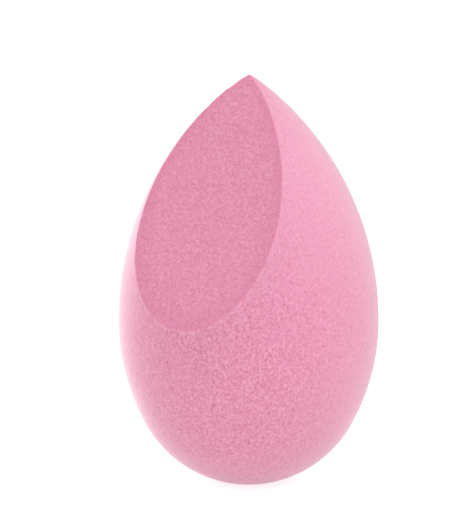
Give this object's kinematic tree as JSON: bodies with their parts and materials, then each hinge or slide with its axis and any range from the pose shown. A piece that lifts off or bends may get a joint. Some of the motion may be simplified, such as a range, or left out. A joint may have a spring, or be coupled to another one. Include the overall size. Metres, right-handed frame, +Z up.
{
  "type": "makeup sponge",
  "caption": "Egg-shaped makeup sponge of soft foam with a pointed tip, a round bottom that stands by itself and a slanted flat cut down its front.",
  "frame": {"origin": "middle of the flat seat under the round bottom, on the surface that the sponge stands on", "axes": "+Z up along the axis of the egg, towards the pointed tip; the slanted cut face looks along -Y and up; +X to the right of someone who looks at the cut face"},
  "size_m": [0.04, 0.04, 0.0635],
  "materials": {
    "foam": "matte fine-celled soft foam rubber, pale rose pink, dyed through"
  },
  "bodies": {
    "root": {"foam_body": "foam"}
  },
  "joints": []
}
